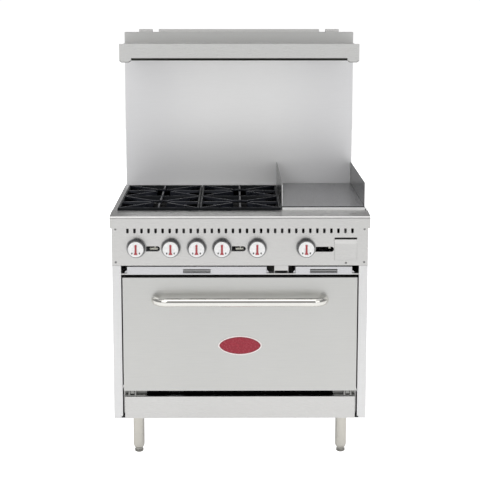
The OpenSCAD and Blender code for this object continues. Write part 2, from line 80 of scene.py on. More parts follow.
def add_slab(bm, low, high, radius=0.0, segments=2):
    """A box between two corners, with rounded edges, added to bm."""
    low, high = Vector(low), Vector(high)
    size = high - low
    made = bmesh.ops.create_cube(bm, size=1.0)
    bmesh.ops.scale(bm, vec=size, verts=made["verts"])
    bmesh.ops.translate(bm, vec=(low + high) / 2, verts=made["verts"])
    if radius > 0:
        edges = list({e for v in made["verts"] for e in v.link_edges})
        bmesh.ops.bevel(bm, geom=edges, offset=radius, segments=segments, profile=0.5, affect="EDGES")


def add_prism(bm, outline, place, depth):
    """An outline of (u, v) points, put in space by place(u, v, w), extruded from w = 0 to w = depth."""
    near = [bm.verts.new(place(u, v, 0.0)) for u, v in outline]
    far = [bm.verts.new(place(u, v, depth)) for u, v in outline]
    bm.faces.new(near)
    bm.faces.new(list(reversed(far)))
    count = len(outline)
    for i in range(count):
        j = (i + 1) % count
        bm.faces.new((near[i], far[i], far[j], near[j]))


def bridge(bm, lower, upper):
    """Faces between two closed loops of vertices with equal counts."""
    count = len(lower)
    for i in range(count):
        j = (i + 1) % count
        bm.faces.new((lower[i], lower[j], upper[j], upper[i]))


def circle(place, radius, w, steps):
    """Points of a circle about the axis of place, at w along it."""
    angles = (2 * math.pi * i / steps for i in range(steps))
    return [place(radius * math.cos(a), radius * math.sin(a), w) for a in angles]


def add_lathe(bm, profile, place, segments):
    """(radius, w) points turned about an axis, put in space by place(u, v, w). Radius 0 closes an end."""
    rings = []
    for radius, w in profile:
        points = circle(place, radius, w, segments) if radius > 0 else [place(0.0, 0.0, w)]
        rings.append([bm.verts.new(p) for p in points])
    for lower, upper in zip(rings, rings[1:]):
        if len(lower) == len(upper):
            bridge(bm, lower, upper)
            continue
        for i in range(segments):
            j = (i + 1) % segments
            if len(lower) == 1:
                bm.faces.new((lower[0], upper[j], upper[i]))
            else:
                bm.faces.new((lower[i], lower[j], upper[0]))


def add_tube(bm, points, radius, sides):
    """A round tube along a list of points, closed at both ends."""
    points = [Vector(p) for p in points]
    normal = None
    rings = []
    for i, p in enumerate(points):
        ahead = points[min(i + 1, len(points) - 1)]
        behind = points[max(i - 1, 0)]
        tangent = (ahead - behind).normalized()
        if normal is None:
            start = Vector((0, 0, 1)) if abs(tangent.z) < 0.9 else Vector((1, 0, 0))
            normal = tangent.cross(start).normalized()
        normal = (normal - tangent * normal.dot(tangent)).normalized()
        side = tangent.cross(normal)
        rings.append([
            bm.verts.new(p + radius * (math.cos(a) * normal + math.sin(a) * side))
            for a in (2 * math.pi * k / sides for k in range(sides))
        ])
    for lower, upper in zip(rings, rings[1:]):
        bridge(bm, lower, upper)
    bm.faces.new(rings[0])
    bm.faces.new(list(reversed(rings[-1])))


# ---------- Materials ----------

def new_material(name):
    """A new node material: (material, principled shader, function that adds a node, one that links)."""
    material = bpy.data.materials.new(name)
    material.use_nodes = True
    tree = material.node_tree
    shader = tree.nodes["Principled BSDF"]

    def add(kind, **settings):
        node = tree.nodes.new(kind)
        for key, value in settings.items():
            setattr(node, key, value)
        return node

    return material, shader, add, tree.links.new


def streak_noise(add, link, stretch, scale, detail=3.0):
    """Noise drawn out along the axes where stretch is small, from object coordinates."""
    coords = add("ShaderNodeTexCoord")
    mapping = add("ShaderNodeMapping")
    mapping.inputs["Scale"].default_value = stretch
    noise = add("ShaderNodeTexNoise")
    noise.inputs["Scale"].default_value = scale
    noise.inputs["Detail"].default_value = detail
    link(coords.outputs["Object"], mapping.inputs["Vector"])
    link(mapping.outputs["Vector"], noise.inputs["Vector"])
    return noise.outputs["Fac"]


def spread(add, link, value, low, high):
    """value from 0.3..0.7 mapped to low..high."""
    node = add("ShaderNodeMapRange")
    node.inputs["From Min"].default_value = 0.3
    node.inputs["From Max"].default_value = 0.7
    node.inputs["To Min"].default_value = low
    node.inputs["To Max"].default_value = high
    link(value, node.inputs["Value"])
    return node.outputs["Result"]


def blend_colours(add, link, factor, dark, light):
    """A colour from dark to light as factor goes from 0.3 to 0.7."""
    ramp = add("ShaderNodeValToRGB")
    ramp.color_ramp.elements[0].position = 0.3
    ramp.color_ramp.elements[0].color = (*dark, 1)
    ramp.color_ramp.elements[1].position = 0.7
    ramp.color_ramp.elements[1].color = (*light, 1)
    link(factor, ramp.inputs["Fac"])
    return ramp.outputs["Color"]


def add_bump(add, link, shader, height, strength, distance):
    """A bump from height on the shader's normal, distance in metres."""
    bump = add("ShaderNodeBump")
    bump.inputs["Strength"].default_value = strength
    bump.inputs["Distance"].default_value = distance
    link(height, bump.inputs["Height"])
    link(bump.outputs["Normal"], shader.inputs["Normal"])


def scaled(colour, factor):
    return tuple(min(1.0, c * factor) for c in colour)


def set_input(material, name, value):
    """One number for the whole surface, on the shader's own socket."""
    material.node_tree.nodes["Principled BSDF"].inputs[name].default_value = value


def brushed(name, colour, roughness, stretch=(3, 3, 260), variation=0.05, grain=0.25, blur=0.05):
    """Brushed sheet metal: fine streaks along the short axes of stretch, over slow cloudy variation."""
    material, shader, add, link = new_material(name)
    streaks = streak_noise(add, link, stretch, 6.0, 4.0)
    clouds = streak_noise(add, link, (1, 1, 1), 2.2, 2.0)
    mixed = add("ShaderNodeMath", operation="MULTIPLY_ADD")
    mixed.inputs[1].default_value = 0.65
    link(streaks, mixed.inputs[0])
    share = add("ShaderNodeMath", operation="MULTIPLY")
    share.inputs[1].default_value = 0.35
    link(clouds, share.inputs[0])
    link(share.outputs[0], mixed.inputs[2])
    dark, light = scaled(colour, 1 - variation), scaled(colour, 1 + variation)
    tone = blend_colours(add, link, mixed.outputs[0], dark, light)
    link(tone, shader.inputs["Base Color"])
    link(spread(add, link, streaks, roughness - blur, roughness + blur), shader.inputs["Roughness"])
    shader.inputs["Metallic"].default_value = 1.0
    add_bump(add, link, shader, streaks, grain, 0.0001)
    return material


def cast(name, colour, roughness):
    """Cast iron: a rough skin with small lumps, in patches of lighter and darker tone."""
    material, shader, add, link = new_material(name)
    fine = streak_noise(add, link, (1, 1, 1), 420.0, 6.0)
    slow = streak_noise(add, link, (1, 1, 1), 24.0, 3.0)
    tone = blend_colours(add, link, slow, scaled(colour, 0.6), scaled(colour, 1.6))
    link(tone, shader.inputs["Base Color"])
    link(spread(add, link, slow, roughness - 0.08, roughness + 0.12), shader.inputs["Roughness"])
    add_bump(add, link, shader, fine, 0.5, 0.0004)
    return material


def polished(name, colour, roughness):
    """Polished or plated metal with faint smears."""
    material, shader, add, link = new_material(name)
    smears = streak_noise(add, link, (1, 1, 1), 14.0, 4.0)
    tone = blend_colours(add, link, smears, scaled(colour, 0.97), scaled(colour, 1.03))
    link(tone, shader.inputs["Base Color"])
    link(spread(add, link, smears, roughness * 0.8, roughness * 1.3), shader.inputs["Roughness"])
    shader.inputs["Metallic"].default_value = 1.0
    return material


def enamel(name, colour, roughness=0.2, fleck=0.0, coat=0.4):
    """Gloss enamel with an orange-peel surface, and pale flecks if asked."""
    material, shader, add, link = new_material(name)
    peel = streak_noise(add, link, (1, 1, 1), 160.0, 2.0)
    tone = blend_colours(add, link, peel, scaled(colour, 0.92), scaled(colour, 1.08 + fleck))
    link(tone, shader.inputs["Base Color"])
    link(spread(add, link, peel, roughness, roughness + 0.08), shader.inputs["Roughness"])
    shader.inputs["Coat Weight"].default_value = coat
    add_bump(add, link, shader, peel, 0.15, 0.0003)
    return material


def wool(name, colour):
    """Mineral wool or woven gasket: fibrous and matte."""
    material, shader, add, link = new_material(name)
    fibres = streak_noise(add, link, (1, 1, 9), 90.0, 8.0)
    tone = blend_colours(add, link, fibres, scaled(colour, 0.6), scaled(colour, 1.15))
    link(tone, shader.inputs["Base Color"])
    shader.inputs["Roughness"].default_value = 0.95
    add_bump(add, link, shader, fibres, 0.9, 0.002)
    return material


def paint_shade_inside(material, x, depth, z, colour=(0.012, 0.012, 0.012)):
    """Paints shade: gives the surface another base colour inside a box, near black unless one is given, in
    place of the shade on inner faces.

    Ranges are in millimetres, depth from the side panels' front plane. They are those of the rest
    pose, and the shade stays on the piece when it moves.
    """
    tree = material.node_tree
    shader = tree.nodes["Principled BSDF"]
    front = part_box("left_side_panel")[0][1] / MM
    coords = tree.nodes.new("ShaderNodeTexCoord")
    split = tree.nodes.new("ShaderNodeSeparateXYZ")
    tree.links.new(coords.outputs["Object"], split.inputs[0])
    mask = None
    for axis, (low, high) in (("X", x), ("Y", (front + depth[0], front + depth[1])), ("Z", z)):
        for operation, limit in (("GREATER_THAN", low), ("LESS_THAN", high)):
            test = tree.nodes.new("ShaderNodeMath")
            test.operation = operation
            test.inputs[1].default_value = limit * MM
            tree.links.new(split.outputs[axis], test.inputs[0])
            if mask is None:
                mask = test.outputs[0]
                continue
            both = tree.nodes.new("ShaderNodeMath")
            both.operation = "MULTIPLY"
            tree.links.new(mask, both.inputs[0])
            tree.links.new(test.outputs[0], both.inputs[1])
            mask = both.outputs[0]
    mix = tree.nodes.new("ShaderNodeMix")
    mix.data_type = "RGBA"
    base = shader.inputs["Base Color"].links[0].from_socket
    tree.links.new(mask, mix.inputs[0])
    tree.links.new(base, mix.inputs[6])
    mix.inputs[7].default_value = (*colour, 1)
    tree.links.new(mix.outputs[2], shader.inputs["Base Color"])


def ramp_between(material, axis, start, end, absolute=False):
    """0 at start to 1 at end, in millimetres along an object axis, eased at both ends."""
    tree = material.node_tree
    coords = tree.nodes.new("ShaderNodeTexCoord")
    split = tree.nodes.new("ShaderNodeSeparateXYZ")
    tree.links.new(coords.outputs["Object"], split.inputs[0])
    value = split.outputs[axis]
    if absolute:
        size = tree.nodes.new("ShaderNodeMath")
        size.operation = "ABSOLUTE"
        tree.links.new(value, size.inputs[0])
        value = size.outputs[0]
    ease = tree.nodes.new("ShaderNodeMapRange")
    ease.interpolation_type = "SMOOTHSTEP"
    ease.inputs["From Min"].default_value = start * MM
    ease.inputs["From Max"].default_value = end * MM
    tree.links.new(value, ease.inputs["Value"])
    return ease.outputs["Result"]


def paint_riser_shade(material):
    """Painted shade: darkens the panel's colour towards its sides, and makes it reflect less like metal
    towards the cooktop.
    """
    tree = material.node_tree
    shader = tree.nodes["Principled BSDF"]
    mix = tree.nodes.new("ShaderNodeMix")
    mix.data_type = "RGBA"
    mix.blend_type = "MULTIPLY"
    mix.inputs[7].default_value = (0.85, 0.85, 0.86, 1)
    tree.links.new(ramp_between(material, "X", 90, 430, absolute=True), mix.inputs[0])
    tree.links.new(shader.inputs["Base Color"].links[0].from_socket, mix.inputs[6])
    tree.links.new(mix.outputs[2], shader.inputs["Base Color"])
    metallic_by_height = tree.nodes.new("ShaderNodeMapRange")
    metallic_by_height.inputs["To Min"].default_value = 0.04
    metallic_by_height.inputs["To Max"].default_value = 0.45
    tree.links.new(ramp_between(material, "Z", 920, 1230), metallic_by_height.inputs["Value"])
    tree.links.new(metallic_by_height.outputs["Result"], shader.inputs["Metallic"])


STEEL = (0.66, 0.655, 0.645)
STEEL_MAT = brushed("brushed_steel", STEEL, 0.30)
STEEL_DOOR = brushed("brushed_steel_door", (0.62, 0.62, 0.605), 0.34)
# Painted light: a near-white base makes the riser brighter than the other steel.
STEEL_RISER = brushed("brushed_steel_riser", (0.985, 0.985, 0.985), 0.30, (3, 3, 90),
                      variation=0.015, grain=0.02, blur=0.01)
paint_riser_shade(STEEL_RISER)
# Painted light: a paler copy of the panel steel, so that the side panels look brighter.
STEEL_SIDE = brushed("pale_steel_side", (0.80, 0.80, 0.80), 0.42)
STEEL_TRAY = brushed("tray_steel", (0.66, 0.66, 0.68), 0.28)
STEEL_TOP = brushed("cooktop_steel", (0.66, 0.66, 0.66), 0.30, (260, 3, 3))
FRAME_STEEL = brushed("front_frame_steel", STEEL, 0.30)
# Painted highlight: near white and barely metallic, so that the trough's lip shows as a pale strip.
STEEL_TROUGH = brushed("trough_steel", (0.97, 0.97, 0.96), 0.35)
set_input(STEEL_TROUGH, "Metallic", 0.2)
STEEL_DRAWER = brushed("drawer_steel", STEEL, 0.30)
# Painted highlight: near white and barely metallic, for the bright lines at the splash's left edge and rear
# corner.
HIGHLIGHT_STEEL = polished("painted_highlight_steel", (0.98, 0.98, 0.98), 0.3)
set_input(HIGHLIGHT_STEEL, "Metallic", 0.15)
STEEL_LEG = brushed("leg_steel", (0.62, 0.60, 0.55), 0.24, (3, 3, 260))
ALUMINISED = brushed("aluminised_steel", (0.50, 0.51, 0.52), 0.5, (30, 30, 30), 0.12)
GRIDDLE = brushed("ground_griddle_steel", (0.40, 0.40, 0.41), 0.30, (260, 3, 3), 0.14)
# Painted shade: near-black steel for the shelf's hem and the channels' bottom seams, in place of the shade
# under the shelf.
SHADE_STEEL = brushed("painted_shade_steel", (0.05, 0.05, 0.045), 0.5, (3, 3, 120), 0.2)
HINGE_STEEL = brushed("hinge_steel", (0.30, 0.30, 0.29), 0.4, (3, 3, 120), 0.15)
FOOT_STEEL = polished("foot_steel", (0.50, 0.49, 0.46), 0.25)
STEEL_SHELF = brushed("shelf_steel", (0.64, 0.64, 0.63), 0.30)
# Painted shade: a dark copy of the steel for the splash walls, the right splash edge and the tabs in the
# tray slots.
SHADED_SPLASH_STEEL = brushed("splash_steel_painted_shade", (0.28, 0.28, 0.28), 0.24)
PIPE_STEEL = brushed("black_pipe", (0.06, 0.06, 0.06), 0.55, (40, 40, 40), 0.3)
CHROME = polished("polished_chrome", (0.84, 0.83, 0.79), 0.06)
# Painted shade: a dark copy of the chrome for the knob bodies, in place of their reflection of the shaded
# underside of the ledge.
KNOB_CHROME_SHADED = polished("knob_chrome_painted_shade", (0.20, 0.20, 0.21), 0.12)
BEZEL_CHROME = polished("bezel_chrome", (0.34, 0.34, 0.34), 0.10)
RIM_CHROME = polished("rim_chrome", (0.32, 0.32, 0.32), 0.14)
KNOB_FACE = enamel("knob_face", (0.96, 0.96, 0.96), 0.22)
SCREW_STEEL = polished("screw_steel", (0.30, 0.30, 0.30), 0.3)
# Painted light: the pilot tubes' cream colour is raised to near white and made non-metallic, so that they
# look lit behind the panel.
PILOT_LIT = polished("pilot_tube_painted_light", (1.0, 0.98, 0.86), 0.35)
set_input(PILOT_LIT, "Metallic", 0.0)
WIRE = polished("plated_wire", (0.75, 0.75, 0.74), 0.18)
BRASS = polished("machined_brass", (0.86, 0.66, 0.33), 0.22)
PLATED = polished("plated_thermostat", (0.55, 0.56, 0.57), 0.3)
IRON = cast("black_cast_iron", (0.014, 0.016, 0.023), 0.30)
set_input(IRON, "Specular IOR Level", 0.60)
# Painted shade: the grates' rims and feet are a darker, less reflective copy of the fingers' iron.
RIM_IRON_SHADED = cast("cast_iron_rim_painted_shade", (0.006, 0.007, 0.009), 0.38)
set_input(RIM_IRON_SHADED, "Specular IOR Level", 0.12)
BURNER_IRON = cast("burner_cast_iron", (0.03, 0.03, 0.031), 0.55)
OVEN_ENAMEL = enamel("oven_enamel", (0.018, 0.020, 0.026), 0.22, 0.5)
RED_ENAMEL = enamel("red_enamel", (0.36, 0.014, 0.036), 0.22, coat=0.05)
DARK_RED = enamel("dark_red_enamel", (0.27, 0.010, 0.025), 0.22, coat=0.05)
BADGE_RIM = enamel("badge_rim_enamel", (0.97, 0.86, 0.85), 0.25)
RED_INLAY = enamel("red_pointer", (0.42, 0.045, 0.055), 0.35)
# Black print for the knobs' dots; on the screw heads it is painted shade in the cross recesses.
BLACK_PRINT_AND_SHADE = enamel("black_print_and_painted_shade", (0.02, 0.02, 0.02), 0.4)
# Painted shade: the mineral wool is made dark grey, so that it looks shaded where it shows through gaps.
WOOL = wool("mineral_wool", (0.10, 0.095, 0.085))
GASKET = wool("woven_gasket", (0.10, 0.10, 0.10))

# Painted shade on inner faces seen from the front: burner box, frame, trough, drawer, valves behind the
# panel, the griddle's front edge, and the back panel's inner side. The drawer's whole inside is painted
# dark.
paint_shade_inside(STEEL_TOP, (-455.9, 455.9), (0, 719), (700, 905.9))
paint_shade_inside(FRAME_STEEL, (-424.5, 424.5), (39, 60), (265, 1000))
paint_shade_inside(FRAME_STEEL, (-339, 339), (39, 60), (100, 265))
paint_shade_inside(STEEL_TROUGH, (150, 452), (58.7, 92.9), (860, 912.3))
paint_shade_inside(STEEL_DRAWER, (330, 425), (1, 260), (700, 812))
paint_shade_inside(BRASS, (-460, 460), (22, 100), (765, 860), (0.05, 0.04, 0.02))
paint_shade_inside(GRIDDLE, (150, 452), (90, 94.9), (900, 916))
paint_shade_inside(ALUMINISED, (-454, 454), (3, 762.9), (690, 903.5))
# Painted shade: the riser's band above the shelf is only greyer, in place of the shelf's darker reflection
# in it.
paint_shade_inside(STEEL_RISER, (-460, 460), (700, 830), (1476, 1560), (0.60, 0.60, 0.59))

NODE_MATERIALS = {
    STEEL_MAT: ["control_panel", "landing_ledge", "kick_panel", "high_shelf", "flue_cap"],
    STEEL_DRAWER: ["grease_drawer"],
    STEEL_TROUGH: ["grease_trough"],
    SHADED_SPLASH_STEEL: ["griddle_splash"],
    FRAME_STEEL: ["front_frame"],
    STEEL_DOOR: ["door_skin"],
    STEEL_RISER: ["riser_panel"],
    STEEL_SIDE: ["left_side_panel", "right_side_panel"],
    STEEL_TRAY: ["left_crumb_tray", "right_crumb_tray"],
    STEEL_TOP: ["cooktop_frame"],
    STEEL_LEG: ["legs"],
    ALUMINISED: ["back_panel", "riser_back", "base_frame", "flue_duct", "slide_runners", "oven_burner",
                 "griddle_burner"],
    GRIDDLE: ["griddle_plate"],
    HINGE_STEEL: ["door_hinges", "door_arms"],
    FOOT_STEEL: ["foot_front_left", "foot_front_right", "foot_rear_left", "foot_rear_right"],
    PIPE_STEEL: ["gas_manifold"],
    CHROME: ["door_handle", "knob_bezels"] + [f"knob_{i}" for i in range(1, 7)],
    WIRE: ["rack_guides", "upper_rack", "lower_rack", "door_springs"],
    SCREW_STEEL: ["panel_screws"],
    PILOT_LIT: ["pilot_tubes"],
    BRASS: ["gas_valves"],
    PLATED: ["oven_thermostat"],
    IRON: ["grate_front_left", "grate_front_right", "grate_rear_left", "grate_rear_right"],
    BURNER_IRON: ["open_burners"],
    OVEN_ENAMEL: ["oven_liner", "oven_deck", "door_inner"],
    RED_ENAMEL: ["door_badge"],
    WOOL: ["oven_insulation", "door_insulation"],
    GASKET: ["door_gasket"],
}


def paint_nodes():
    """Gives every CAD node its material, the replaced ones too."""
    for material, names in NODE_MATERIALS.items():
        for name in names:
            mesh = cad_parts[name].data
            mesh.materials.clear()
            mesh.materials.append(material)


paint_nodes()


# ---------- Knobs ----------

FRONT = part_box("left_side_panel")[0][1]


def point(x, depth, z):
    """A point from millimetres: depth counts from the side panels' front plane, z from the floor."""
    return Vector((x * MM, FRONT + depth * MM, z * MM))


def front_place(x, depth, z):
    """A place() in millimetres whose plane faces the front, with w towards the viewer."""
    return lambda u, v, w: point(x + u, depth - w, z + v)


def middle(node):
    """The middle of a node's box, in metres."""
    low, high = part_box(node)
    return (low + high) / 2


def arc(cx, cy, radius, start, end, steps):
    """Points of an arc, angles in degrees."""
    angles = [math.radians(start + (end - start) * i / steps) for i in range(steps + 1)]
    return [(cx + radius * math.cos(a), cy + radius * math.sin(a)) for a in angles]


def rounded_box(half_w, half_h, radius, steps=6):
    """The outline of a rectangle with round corners, about its middle."""
    outline = []
    for sx, sy, start in ((1, 1, 0), (-1, 1, 90), (-1, -1, 180), (1, -1, 270)):
        cx, cy = sx * half_w, sy * half_h
        outline += arc(cx - sx * radius, cy - sy * radius, radius, start, start + 90, steps)
    return outline


def pointer_outline(grow):
    """The red pointer: a bulb at the top, a straight stem, and a foot that flares."""
    stem = 3.6 + grow
    bulb = 4.3 + grow
    foot = 6.8 + grow
    top = 15.4
    stem_low, stem_high = -9.5, 10.0
    flare, bottom = -16.2 - grow, -17.7 - grow
    right = [(stem, stem_low), (stem, stem_high)]
    cap = arc(0, top - 1.0, bulb, -40, 220, 20)
    base = [(-stem, stem_high), (-stem, stem_low), (-foot, flare), (-foot + 1.0, bottom),
            (foot - 1.0, bottom), (foot, flare)]
    return right + cap + base


def bevel(obj, width, segments=2):
    """A bevel modifier, width in millimetres, on edges sharper than 30 degrees."""
    modifier = obj.modifiers.new("bevel", "BEVEL")
    modifier.width = width * MM
    modifier.segments = segments
    modifier.limit_method = "ANGLE"
    modifier.angle_limit = math.radians(30)


def add_fluted(bm, place, profile, depth, count):
    """A drum along w whose side is scalloped count times, depth deep."""
    steps = count * 6
    loops = []
    for radius, w in profile:
        loop = []
        for i in range(steps):
            a = 2 * math.pi * i / steps
            r = radius - depth * (1 - abs(math.cos(a * count / 2)))
            loop.append(place(r * math.cos(a), r * math.sin(a), w))
        loops.append([bm.verts.new(p) for p in loop])
    bridge(bm, loops[0], loops[1])
    bm.faces.new(list(reversed(loops[0])))
    bm.faces.new(loops[1])


def make_knob(number):
    """Plated die-cast knob on its valve stem, with a raised grip, a red inlay and two black dots."""
    node = f"knob_{number}"
    low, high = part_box(node)
    body = f"{node}_turn"
    x = (low.x + high.x) / 2 / MM
    z = (low.z + high.z) / 2 / MM
    grip_rise = 2.5
    face = (low.y - FRONT) / MM + grip_rise
    back = -8.6
    pointer_drop, dot_offset = 0.8, 13.4
    front = front_place(x, face, z)
    deep = face - back

    bm = bmesh.new()
    add_lathe(bm, [(0, deep), (28.0, deep), (30.5, deep + 0.2), (30.9, deep + 0.9), (30.9, deep + 2.0),
                   (30.3, deep + 3.4), (28.6, deep + 3.6), (28.4, -3.2), (0, -3.2)], front, 64)
    piece = add_mesh(f"{node}_dial", bm, KNOB_CHROME_SHADED, body, 32)
    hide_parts(node)
    bm = bmesh.new()
    add_fluted(bm, front, ((30.1, deep + 3.5), (29.9, -5.0)), 0.9, 24)
    add_mesh(f"{node}_grip_flutes", bm, KNOB_CHROME_SHADED, body, 28)
    bm = bmesh.new()
    add_lathe(bm, [(0, -5.2), (29.4, -5.2), (29.8, -4.4), (29.8, -1.8), (29.2, -0.6), (28.4, 0.0),
                   (27.6, -0.1), (27.2, -0.9), (26.6, -1.1), (0, -1.1)], front, 64)
    add_mesh(f"{node}_rim", bm, RIM_CHROME, body, 32)

    bm = bmesh.new()
    add_lathe(bm, [(0, -1.2), (26.8, -1.2), (27.4, -0.5), (27.2, 0.1), (26.6, 0.1), (26.0, -0.3),
                   (0, -0.3)], front, 64)
    add_mesh(f"{node}_face", bm, KNOB_FACE, body, 30)

    bm = bmesh.new()
    add_prism(bm, pointer_outline(1.3), front_place(x, face + 0.8, z - pointer_drop), 2.2)
    grip = add_mesh(f"{node}_grip", bm, KNOB_FACE, body, 30)
    bevel(grip, 0.35, 2)
    bm = bmesh.new()
    add_prism(bm, pointer_outline(0.0), front_place(x, face + 0.8, z - pointer_drop), 2.75)
    inlay = add_mesh(f"{node}_inlay", bm, RED_INLAY, body, 30)
    bevel(inlay, 0.25, 2)

    bm = bmesh.new()
    for side in (-1, 1):
        place = front_place(x + side * dot_offset, face + 0.7, z - dot_offset)
        add_prism(bm, rounded_box(2.2, 3.1, 1.7), place, 0.9)
    add_mesh(f"{node}_marks", bm, BLACK_PRINT_AND_SHADE, body, 30)

    bm = bmesh.new()
    reach = (high.y - FRONT) / MM - back
    add_lathe(bm, [(0, 0), (3.98, 0), (3.98, reach - 0.8), (3.4, reach), (0, reach)],
              lambda u, v, w: point(x + u, back + w, z + v), 24)
    add_mesh(f"{node}_stem", bm, BRASS, body, 30)


for index in range(1, 7):
    make_knob(index)


# ---------- Grates ----------

def add_loft(bm, sections):
    """Closed solid through sections of equal point counts."""
    loops = [[bm.verts.new(p) for p in section] for section in sections]
    for lower, upper in zip(loops, loops[1:]):
        bridge(bm, lower, upper)
    bm.faces.new(list(reversed(loops[0])))
    bm.faces.new(loops[-1])


def add_ring(bm, loops):
    """Closed ring: the last loop joins the first."""
    loops = [[bm.verts.new(p) for p in loop] for loop in loops]
    for lower, upper in zip(loops, loops[1:] + loops[:1]):
        bridge(bm, lower, upper)


def add_finger(bm, place, angle, outer, inner):
    """Cast finger from the rim inwards: a blade that grows deeper and thicker towards its blunt end."""
    a = math.radians(angle)
    along, across = (math.cos(a), math.sin(a)), (-math.sin(a), math.cos(a))
    # Distance from the middle, half widths at the bottom and top, depth of the bottom, height of the top
    shape = ((outer, 2.6, 2.2, 9.0, -1.0), (inner + 30, 3.8, 3.2, 14.0, -0.2),
             (inner + 4, 4.2, 3.4, 15.8, -0.2), (inner, 3.4, 2.6, 15.0, -1.4))
    sections = []
    for reach, foot, crown, depth, lift in shape:
        sections.append([
            place(along[0] * reach + across[0] * s, along[1] * reach + across[1] * s, w)
            for s, w in ((-foot, -depth), (foot, -depth), (crown, lift), (-crown, lift))
        ])
    add_loft(bm, sections)


def make_grate(node):
    """Square top grate: bevelled rim, eight fingers, a low ring that ties them together and four feet."""
    low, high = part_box(node)
    cx, cy = (low.x + high.x) / 2, (low.y + high.y) / 2
    half_x, half_y = (high.x - low.x) / 2 / MM, (high.y - low.y) / 2 / MM
    top = high.z

    def place(u, v, w):
        return Vector((cx + u * MM, cy + v * MM, top + w * MM))

    bm = bmesh.new()
    for angle, outer in ((0, half_x), (180, half_x), (90, half_y), (270, half_y)):
        add_finger(bm, place, angle, outer - 6, 36)
    for angle in (45.7, 134.3, 225.7, 314.3):
        add_finger(bm, place, angle, math.hypot(half_x, half_y) - 12, 38)
    ring_in, ring_out, ring_low, ring_high = 92, 99, -16.0, -9.5
    section = ((ring_out, ring_low), (ring_out, ring_high), (ring_in, ring_high), (ring_in, ring_low))
    add_ring(bm, [circle(place, radius, w, 40) for radius, w in section])
    fingers = add_mesh(f"{node}_fingers", bm, IRON, node, 38)
    bevel(fingers, 0.7, 2)

    bm = bmesh.new()
    rim = [(0.0, -16.0), (0.0, -4.0), (1.4, -1.6), (3.6, -0.6), (5.6, -1.0), (7.6, -3.2), (10.0, -16.0)]
    add_ring(bm, [[place(sx * (half_x - inset), sy * (half_y - inset), w)
                   for sx, sy in ((-1, -1), (1, -1), (1, 1), (-1, 1))] for inset, w in rim])
    foot_depth = (low.z - top) / MM
    edge = 0.8
    for sx in (-1, 1):
        for sy in (-1, 1):
            sections = []
            for w, s in ((foot_depth, 11.5), (foot_depth + 6, 13.5), (-13, 14.5)):
                insets = ((edge, edge), (s, edge), (s, s), (edge, s))
                sections.append([place(sx * (half_x - a), sy * (half_y - b), w) for a, b in insets])
            add_loft(bm, sections)
    grate = add_mesh(f"{node}_casting", bm, RIM_IRON_SHADED, node, 38)
    bevel(grate, 0.7, 2)
    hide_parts(node)


for place_name in ("front_left", "front_right", "rear_left", "rear_right"):
    make_grate(f"grate_{place_name}")


# ---------- Front controls and trim ----------

def make_bezels():
    """Turned rings behind the knobs, rounded on the outside."""
    low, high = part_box("knob_bezels")
    front, back = (low.y - FRONT) / MM, (high.y - FRONT) / MM
    radius = (high.z - low.z) / 2 / MM
    z = (high.z + low.z) / 2 / MM
    deep = back - front
    for number in range(1, 7):
        x = middle(f"knob_{number}").x / MM
        place = lambda u, v, w: point(x + u, back - w, z + v)
        profile = ((radius, 0.0), (radius, deep - 2.2), (radius - 0.7, deep - 0.7), (radius - 2.2, deep),
                   (radius - 4.0, deep - 0.2), (radius - 8.8, deep - 1.6), (radius - 8.8, 0.0))
        bm = bmesh.new()
        add_ring(bm, [circle(place, r, w, 56) for r, w in profile])
        ring = add_mesh(f"bezel_{number}", bm, BEZEL_CHROME, BODY, 34)
        if number == 1:
            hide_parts("knob_bezels")


def make_screws():
    """Pan-head screws; each cross recess is a flat black cross, painted shade."""
    low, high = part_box("panel_screws")
    places = [(low.x / MM + 4.2, low.z / MM + 7.2), (high.x / MM - 4.2, low.z / MM + 7.2),
              (low.x / MM + 4.2, high.z / MM - 4.2), (high.x / MM - 4.2, high.z / MM - 4.2),
              (378, low.z / MM + 4.2)]
    front = (low.y - FRONT) / MM
    bm = bmesh.new()
    slots = bmesh.new()
    for x, z in places:
        add_lathe(bm, [(0, 11), (1.9, 11), (1.9, 2.0), (4.1, 2.0), (4.0, 1.2), (3.2, 0.4), (1.8, 0.05),
                       (0, 0)],
                  lambda u, v, w: point(x + u, front + w, z + v), 24)
        for wide, tall in ((2.0, 0.42), (0.42, 2.0)):
            add_slab(slots, point(x - wide, front + 0.01, z - tall), point(x + wide, front + 0.4, z + tall))
    screws = add_mesh("panel_screw_heads", bm, SCREW_STEEL, BODY, 40)
    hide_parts("panel_screws")
    add_mesh("panel_screw_recesses", slots, BLACK_PRINT_AND_SHADE, BODY)


def badge_outline(half_w, half_h, steps=72):
    """An ellipse drawn slightly to a point at both ends."""
    points = []
    for i in range(steps):
        a = 2 * math.pi * i / steps
        c, s = math.cos(a), math.sin(a)
        points.append((half_w * math.copysign(abs(c) ** 1.06, c), half_h * math.copysign(abs(s) ** 1.12, s)))
    return points


def make_badge():
    """Blank enamel plate: a pale rim, a dark red border and a red field."""
    low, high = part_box("door_badge")
    half_w, half_h = (high.x - low.x) / 2 / MM, (high.z - low.z) / 2 / MM
    x, z = (high.x + low.x) / 2 / MM, (high.z + low.z) / 2 / MM
    back = (high.y - FRONT) / MM
    place = front_place(x, back, z)
    layers = (("rim", 0.0, 1.5, BADGE_RIM, 0.6), ("border", 5.0, 1.9, DARK_RED, 0.3),
              ("field", 8.0, 2.3, RED_ENAMEL, 0.8))
    for name, inset, depth, material, width in layers:
        bm = bmesh.new()
        add_prism(bm, badge_outline(half_w - inset, half_h - inset * 0.9), place, depth)
        plate = add_mesh(f"badge_{name}", bm, material, DOOR, 40)
        bevel(plate, width, 3)
        if name == "rim":
            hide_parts("door_badge")


make_bezels()
make_screws()
make_badge()


# ---------- High shelf ----------

